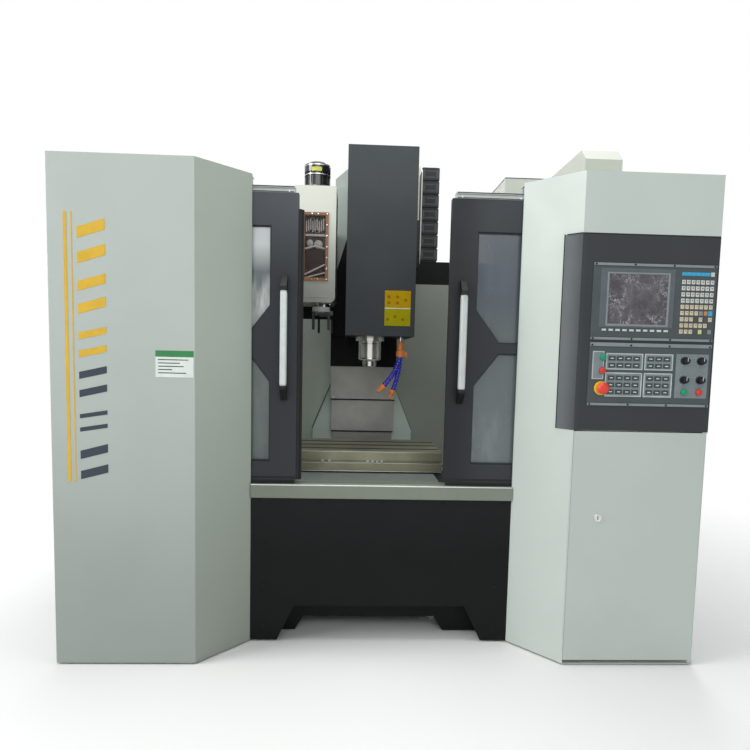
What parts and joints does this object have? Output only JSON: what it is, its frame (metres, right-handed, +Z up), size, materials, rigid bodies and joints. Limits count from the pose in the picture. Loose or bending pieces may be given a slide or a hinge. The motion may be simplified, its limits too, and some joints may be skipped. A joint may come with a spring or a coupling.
{
  "type": "cnc milling machine",
  "caption": "Vertical machining centre: sheet guard with two sliding doors, side console, moving table, travelling head and side tool changer",
  "frame": {"origin": "middle of the bounding box in X and Y, on the floor", "axes": "+X to the right as the operator faces the machine, +Y from the front to the back, +Z up"},
  "size_m": [2.25, 1.9, 2.19],
  "materials": {
    "cast_grey": "satin grey machine paint on castings",
    "steel": "bright steel",
    "ground_steel": "ground steel",
    "ground_iron": "ground cast iron",
    "green_grey_paint": "light green-grey machine paint",
    "black_paint": "satin black paint",
    "guard_paint": "light green-grey powder coat, fine texture",
    "guard_paint_rear": "green-grey powder coat",
    "tray_paint": "green-grey powder coat",
    "cover_steel": "dull sheet steel",
    "head_paint": "dark grey powder coat",
    "changer_paint": "cream powder coat",
    "rim_paint": "rust-orange frame with a clear pane",
    "hose_plastic": "blue moulded plastic",
    "chain_plastic": "black moulded plastic",
    "magazine_steel": "grey paint with dark pots",
    "pot_plastic": "dark moulded plastic",
    "door_paint": "dark grey powder coat",
    "pane": "clear safety pane",
    "aluminium": "satin light aluminium",
    "chrome": "chromed lock",
    "cabinet_paint": "off-white powder coat",
    "console_paint": "dark grey fine-textured paint",
    "panel_plastic": "grey membrane panel",
    "screen": "dark display glass",
    "red_plastic": "red plastic",
    "green_plastic": "green plastic",
    "knob_plastic": "black plastic"
  },
  "bodies": {
    "machine": {"bed_casting": "cast_grey", "levelling_feet": "steel", "column_casting": "green_grey_paint", "axis_motors": "black_paint", "column_cover_lower": "cover_steel", "left_guard": "guard_paint", "right_guard": "guard_paint", "rear_guard": "guard_paint_rear", "base_apron": "black_paint", "front_sill": "tray_paint", "chip_tray": "tray_paint", "coolant_tank": "tray_paint", "changer_casting": "cast_grey", "changer_cover": "changer_paint", "changer_window": "rim_paint", "changer_motor": "black_paint", "chain_duct": "black_paint", "electrical_cabinet": "cabinet_paint", "console_housing": "console_paint", "control_panels": "panel_plastic", "screen_glass": "screen"},
    "saddle": {"saddle": "cast_grey", "x_motor": "black_paint"},
    "y_screw": {"y_screw": "steel"},
    "way_cover_middle": {"way_cover_middle": "cover_steel"},
    "table": {"table": "ground_iron", "trip_dogs": "steel"},
    "x_screw": {"x_screw": "steel"},
    "head": {"head_casting": "black_paint", "head_cover": "head_paint", "spindle_cartridge": "steel", "spindle_motor": "black_paint", "coolant_hoses": "hose_plastic", "column_cover_upper": "cover_steel", "cable_chain": "chain_plastic"},
    "z_screw": {"z_screw": "steel"},
    "spindle": {"spindle": "ground_steel"},
    "column_cover_middle": {"column_cover_middle": "cover_steel"},
    "arm_sleeve": {"arm_sleeve": "ground_steel"},
    "change_arm": {"change_arm": "steel"},
    "magazine": {"magazine_disc": "magazine_steel"},
    "change_pot": {"change_pot": "pot_plastic"},
    "left_door": {"left_door": "door_paint", "left_window": "pane", "left_door_trim": "aluminium"},
    "right_door": {"right_door": "door_paint", "right_window": "pane", "right_door_trim": "aluminium"},
    "access_door": {"access_door": "guard_paint"},
    "door_lock": {"door_lock": "chrome"},
    "cabinet_door": {"cabinet_door": "cabinet_paint"},
    "emergency_stop": {"emergency_stop": "red_plastic"},
    "power_on_button": {"power_on_button": "green_plastic"},
    "power_off_button": {"power_off_button": "red_plastic"},
    "cycle_start_button": {"cycle_start_button": "green_plastic"},
    "feed_hold_button": {"feed_hold_button": "red_plastic"},
    "feed_knob": {"feed_knob": "knob_plastic"},
    "rapid_knob": {"rapid_knob": "knob_plastic"},
    "spindle_knob": {"spindle_knob": "knob_plastic"},
    "mode_knob": {"mode_knob": "knob_plastic"}
  },
  "joints": [
    {"name": "saddle_travel", "type": "slide", "parent": "machine", "child": "saddle", "axis": [0, 1, 0], "range_m": [-0.2, 0.2]},
    {"name": "y_screw_turn", "type": "hinge", "parent": "machine", "child": "y_screw", "pos_m": [-0.06, -0.105, 0.405], "axis": [0, 1, 0], "range_deg": [-4520, 4520]},
    {"name": "way_cover_travel", "type": "slide", "parent": "machine", "child": "way_cover_middle", "axis": [0, 1, 0], "range_m": [-0.1005, 0.1005]},
    {"name": "table_travel", "type": "slide", "parent": "saddle", "child": "table", "axis": [1, 0, 0], "range_m": [-0.248, 0.352]},
    {"name": "x_screw_turn", "type": "hinge", "parent": "saddle", "child": "x_screw", "pos_m": [-0.06, -0.105, 0.52], "axis": [1, 0, 0], "range_deg": [-5600, 7940]},
    {"name": "head_travel", "type": "slide", "parent": "machine", "child": "head", "axis": [0, 0, 1], "range_m": [-0.215, 0.285]},
    {"name": "z_screw_turn", "type": "hinge", "parent": "machine", "child": "z_screw", "pos_m": [-0.06, 0.351, 1.6], "axis": [0, 0, 1], "range_deg": [-4858, 6432]},
    {"name": "column_cover_travel", "type": "slide", "parent": "machine", "child": "column_cover_middle", "axis": [0, 0, 1], "range_m": [-0.108, 0.143]},
    {"name": "spindle_turn", "type": "hinge", "parent": "head", "child": "spindle", "pos_m": [-0.04, -0.105, 1.2], "axis": [0, 0, 1], "continuous": true},
    {"name": "arm_drop", "type": "slide", "parent": "machine", "child": "arm_sleeve", "axis": [0, 0, 1], "range_m": [-0.1, 0]},
    {"name": "arm_swing", "type": "hinge", "parent": "arm_sleeve", "child": "change_arm", "pos_m": [-0.26, -0.105, 1.292], "axis": [0, 0, 1], "range_deg": [-15, 15]},
    {"name": "magazine_turn", "type": "hinge", "parent": "machine", "child": "magazine", "pos_m": [-0.412, -0.105, 1.535], "axis": [1, 0, 0], "continuous": true},
    {"name": "pot_tip", "type": "hinge", "parent": "magazine", "child": "change_pot", "pos_m": [-0.48, -0.105, 1.31], "axis": [0, -1, 0], "range_deg": [0, 90]},
    {"name": "left_door_slide", "type": "slide", "parent": "machine", "child": "left_door", "axis": [1, 0, 0], "range_m": [-0.09, 0.265]},
    {"name": "right_door_slide", "type": "slide", "parent": "machine", "child": "right_door", "axis": [1, 0, 0], "range_m": [-0.269, 0.165]},
    {"name": "access_door_swing", "type": "hinge", "parent": "machine", "child": "access_door", "pos_m": [1.116, -0.906, 0.43], "axis": [0, 0, 1], "range_deg": [0, 100]},
    {"name": "lock_turn", "type": "hinge", "parent": "access_door", "child": "door_lock", "pos_m": [0.75, -0.905, 0.54], "axis": [0, 1, 0], "range_deg": [0, 90]},
    {"name": "cabinet_door_swing", "type": "hinge", "parent": "machine", "child": "cabinet_door", "pos_m": [1.116, 0.936, 1.07], "axis": [0, 0, -1], "range_deg": [0, 110]},
    {"name": "emergency_stop_press", "type": "slide", "parent": "machine", "child": "emergency_stop", "axis": [0, 1, 0], "range_m": [0, 0.006], "stiffness_N_per_m": 1500, "springref_m": -0.002},
    {"name": "power_on_press", "type": "slide", "parent": "machine", "child": "power_on_button", "axis": [0, 1, 0], "range_m": [0, 0.004], "stiffness_N_per_m": 600, "springref_m": -0.002},
    {"name": "power_off_press", "type": "slide", "parent": "machine", "child": "power_off_button", "axis": [0, 1, 0], "range_m": [0, 0.004], "stiffness_N_per_m": 600, "springref_m": -0.002},
    {"name": "cycle_start_press", "type": "slide", "parent": "machine", "child": "cycle_start_button", "axis": [0, 1, 0], "range_m": [0, 0.004], "stiffness_N_per_m": 600, "springref_m": -0.002},
    {"name": "feed_hold_press", "type": "slide", "parent": "machine", "child": "feed_hold_button", "axis": [0, 1, 0], "range_m": [0, 0.004], "stiffness_N_per_m": 600, "springref_m": -0.002},
    {"name": "feed_knob_turn", "type": "hinge", "parent": "machine", "child": "feed_knob", "pos_m": [1.023, -0.915, 1.097], "axis": [0, 1, 0], "range_deg": [-150, 150]},
    {"name": "rapid_knob_turn", "type": "hinge", "parent": "machine", "child": "rapid_knob", "pos_m": [1.08, -0.915, 1.097], "axis": [0, 1, 0], "range_deg": [-150, 150]},
    {"name": "spindle_knob_turn", "type": "hinge", "parent": "machine", "child": "spindle_knob", "pos_m": [1.023, -0.915, 1.031], "axis": [0, 1, 0], "range_deg": [-150, 150]},
    {"name": "mode_knob_turn", "type": "hinge", "parent": "machine", "child": "mode_knob", "pos_m": [1.08, -0.915, 1.031], "axis": [0, 1, 0], "range_deg": [-150, 150]}
  ],
  "couplings": [
    {"joint": "y_screw_turn", "follows": "saddle_travel", "rad_per_m": 392.7},
    {"joint": "way_cover_travel", "follows": "saddle_travel", "ratio": 0.5},
    {"joint": "x_screw_turn", "follows": "table_travel", "rad_per_m": 392.7},
    {"joint": "z_screw_turn", "follows": "head_travel", "rad_per_m": 392.7},
    {"joint": "column_cover_travel", "follows": "head_travel", "ratio": 0.5}
  ]
}
